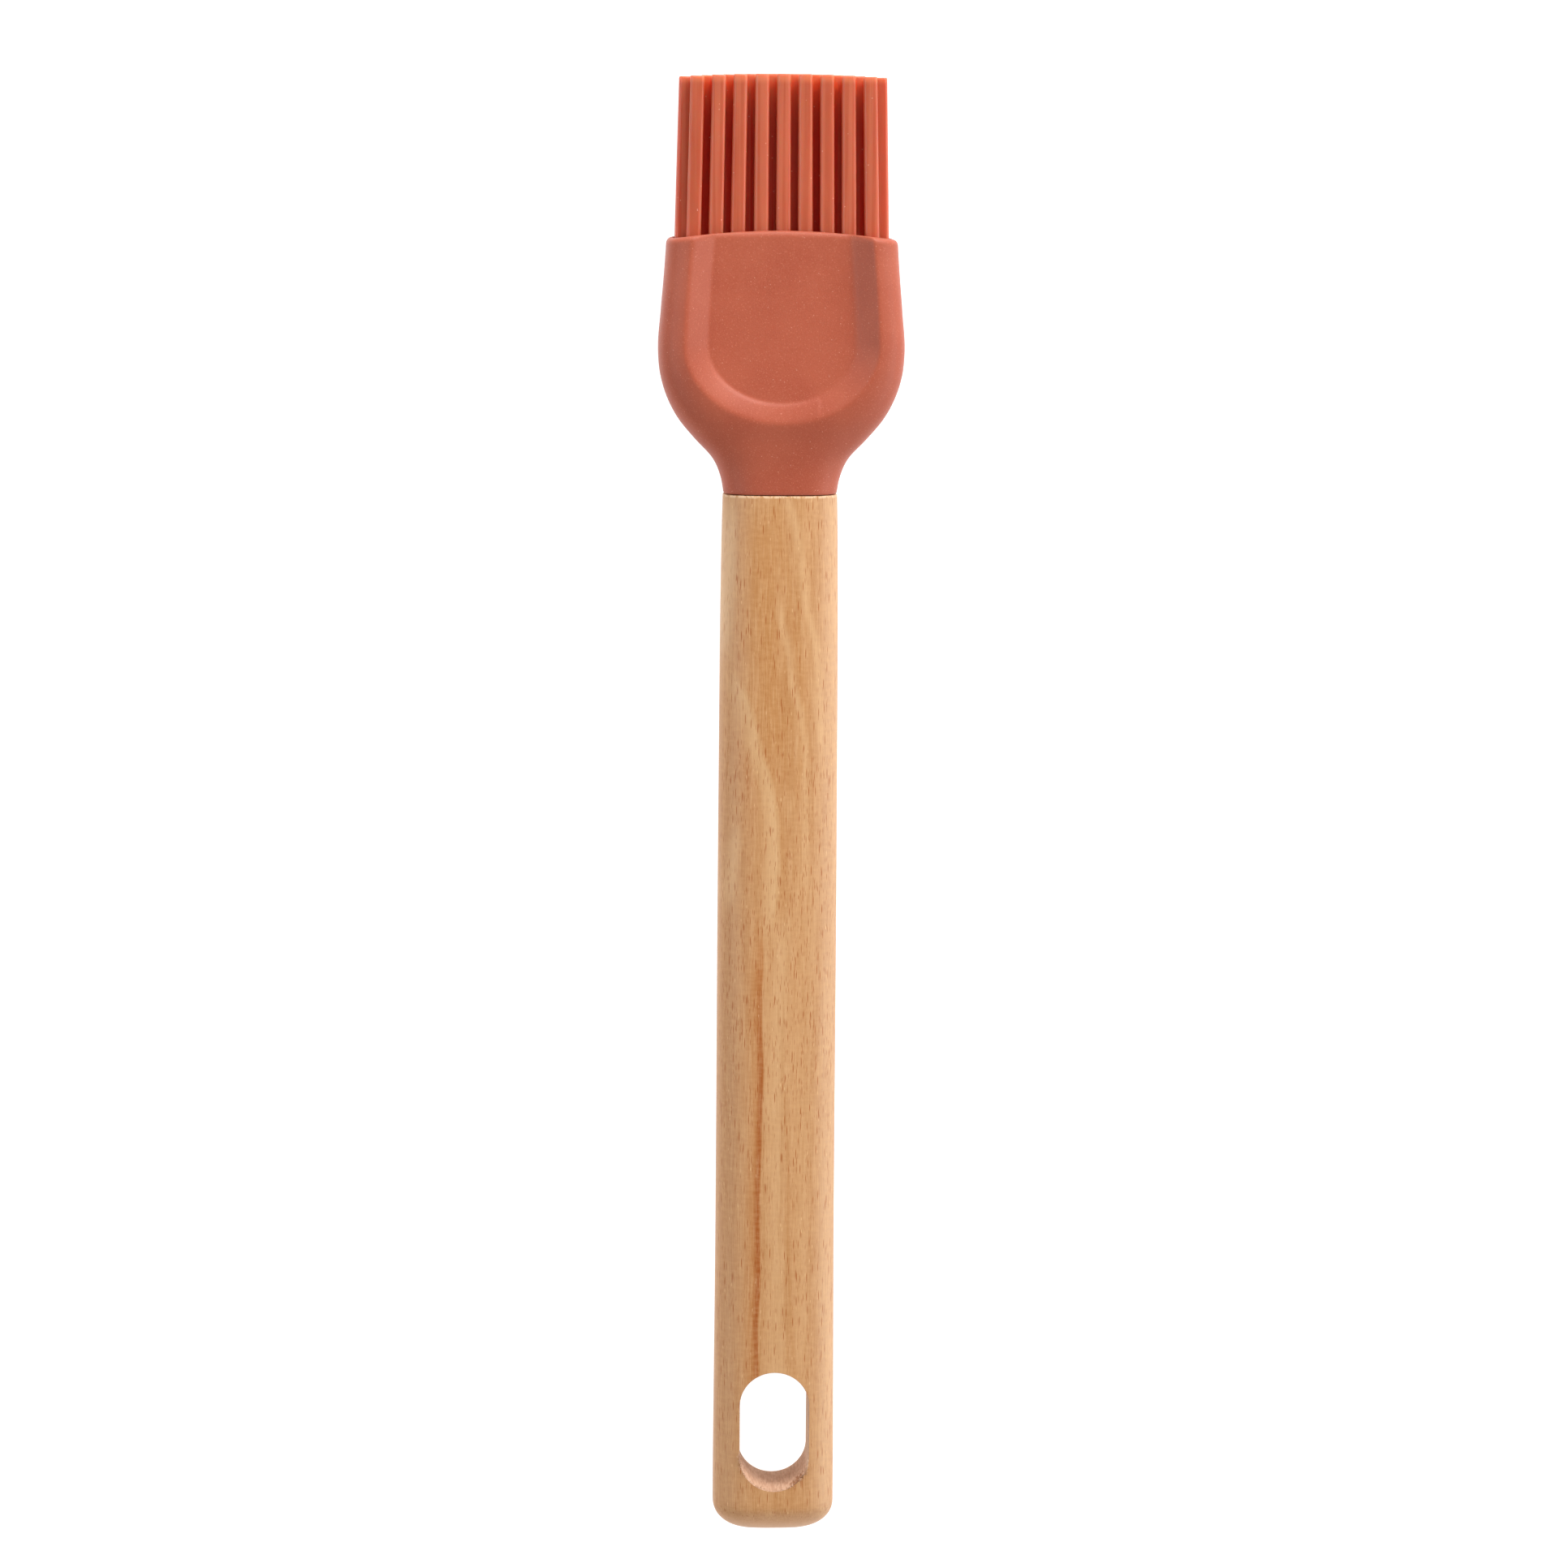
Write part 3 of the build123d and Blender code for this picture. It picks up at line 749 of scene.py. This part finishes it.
drop = sum_of("SUBTRACT", 1.0, sum_of("SQRT", sum_of("SUBTRACT", 1.0, sum_of("MULTIPLY", near_tip, near_tip))))
half_bristle = sum_of("MULTIPLY", given["Bristle width"], 0.5)
drop = sum_of("MULTIPLY", drop, sum_of("DIVIDE", given["Tip rounding"], half_bristle))
thickness = sum_of("SUBTRACT", sum_of("ADD", 0.94, sum_of("MULTIPLY", left, 0.06)), drop)
profile = step("GeometryNodeCurvePrimitiveQuadrilateral",
               {"Width": given["Bristle width"], "Height": given["Bristle depth"]})[0]
profile = step("GeometryNodeFilletCurve", {"Curve": profile, "Radius": given["Corner radius"], "Count": 5,
                                           "Limit Radius": True}, mode="POLY")[0]
bristle = step("GeometryNodeCurveToMesh", {"Curve": spine, "Profile Curve": profile, "Scale": thickness,
                                           "Fill Caps": True})[0]

index = step("GeometryNodeInputIndex")[0]
last = sum_of("SUBTRACT", given["Bristles"], 1.0)
place = sum_of("SUBTRACT", index, sum_of("MULTIPLY", last, 0.5))
tip_x = sum_of("MULTIPLY", place, given["Pitch at the tips"])
root_x = sum_of("MULTIPLY", place, given["Pitch at the bar"])
out = sum_of("DIVIDE", tip_x, given["Half tuft width"])
tip_drop = sum_of("MULTIPLY", sum_of("MULTIPLY", out, out), given["Tip arch"])
tip_place = vector(tip_x, sum_of("SUBTRACT", given["Tip height"], tip_drop), given["Row height"])
points = step("GeometryNodeMeshLine", {"Count": given["Bristles"]})[0]
points = step("GeometryNodeSetPosition", {"Geometry": points, "Position": tip_place})[0]
lean = sum_of("ARCSINE", sum_of("DIVIDE", sum_of("SUBTRACT", root_x, tip_x), length))
most_stray = 0.004
stray = comb.random_vector((-most_stray, 0.0, -most_stray), (most_stray, 0.0, most_stray))
turn = step("ShaderNodeVectorMath", {0: vector(z=lean), 1: stray}, operation="ADD")[0]
turn = step("FunctionNodeEulerToRotation", {"Euler": turn})[0]
row = step("GeometryNodeInstanceOnPoints", {"Points": points, "Instance": bristle, "Rotation": turn})[0]

bar_width = sum_of("ADD", sum_of("MULTIPLY", last, given["Pitch at the bar"]), given["Bristle width"])
bar_height = sum_of("SUBTRACT", given["Bar top"], given["Bar bottom"])
bar = step("GeometryNodeMeshCube", {"Size": vector(bar_width, bar_height, given["Bar depth"])})[0]
bar_y = sum_of("ADD", given["Bar bottom"], sum_of("MULTIPLY", bar_height, 0.5))
bar_place = vector(0.0, bar_y, given["Row height"])
bar = step("GeometryNodeTransform", {"Geometry": bar, "Translation": bar_place})[0]
row = step("GeometryNodeSetShadeSmooth", {"Geometry": row})[0]
joined = add_node(comb.tree, "GeometryNodeJoinGeometry")
for part_of_comb in (row, bar):
    comb.tree.links.new(part_of_comb, joined.inputs[0])
comb.finish(joined.outputs[0])

row_pitch = 2.16 * mm
middle_row, first_seed = 2, 3
for row_number, (node, bristles) in enumerate((
    ("back_bristle_comb", 9), ("inner_back_bristle_comb", 10), ("middle_bristle_comb", 9),
    ("inner_front_bristle_comb", 10), ("front_bristle_comb", 9),
)):
    piece = place_in_scene(node + "_soft", comb.grow({
        "Bristles": bristles, "Row height": mid_z + (row_number - middle_row) * row_pitch,
        "Seed": row_number + first_seed, "Finish": silicone.material}))
    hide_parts(node)
    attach(piece, "head")
